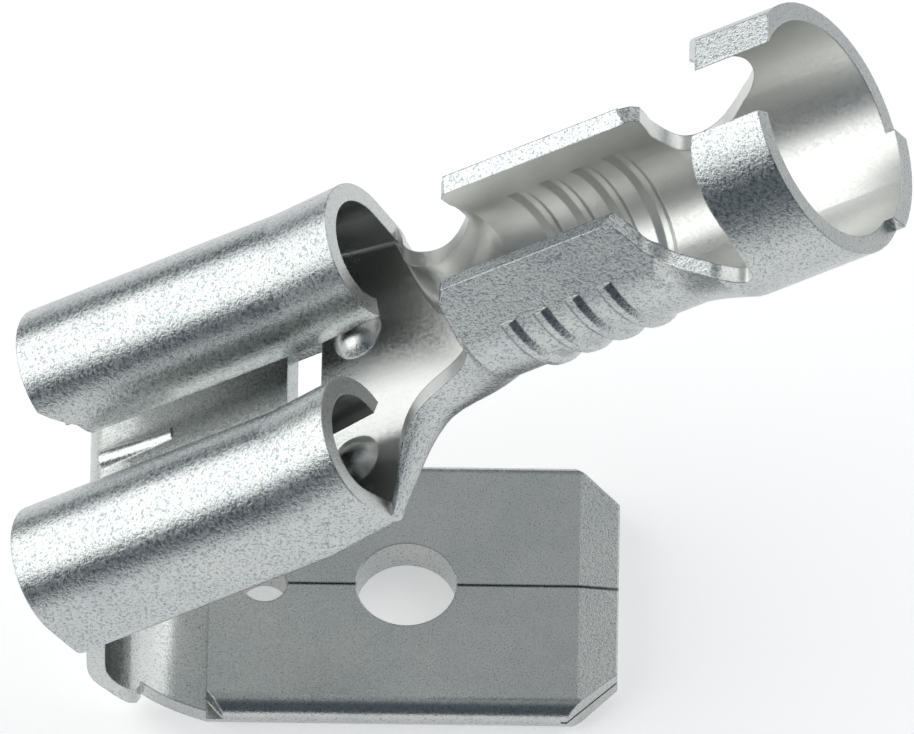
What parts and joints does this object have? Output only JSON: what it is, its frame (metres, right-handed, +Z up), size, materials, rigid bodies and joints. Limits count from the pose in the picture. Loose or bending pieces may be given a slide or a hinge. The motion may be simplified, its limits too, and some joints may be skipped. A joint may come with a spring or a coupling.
{
  "type": "piggyback spade terminal",
  "caption": "Crimp spade terminal with a rolled female receptacle, folded male tab below it, ribbed wire barrel and open insulation barrel.",
  "frame": {"origin": "centre of the male tab's detent hole, on the face that the tab lies on", "axes": "+X along the tab to its tip, on the wire's side; +Y across the strip; +Z up from the tab"},
  "size_m": [0.0184, 0.0078, 0.0193],
  "materials": {
    "tin_plated_brass": "bright tin plate over brass"
  },
  "bodies": {
    "root": {"terminal": "tin_plated_brass"}
  },
  "joints": []
}
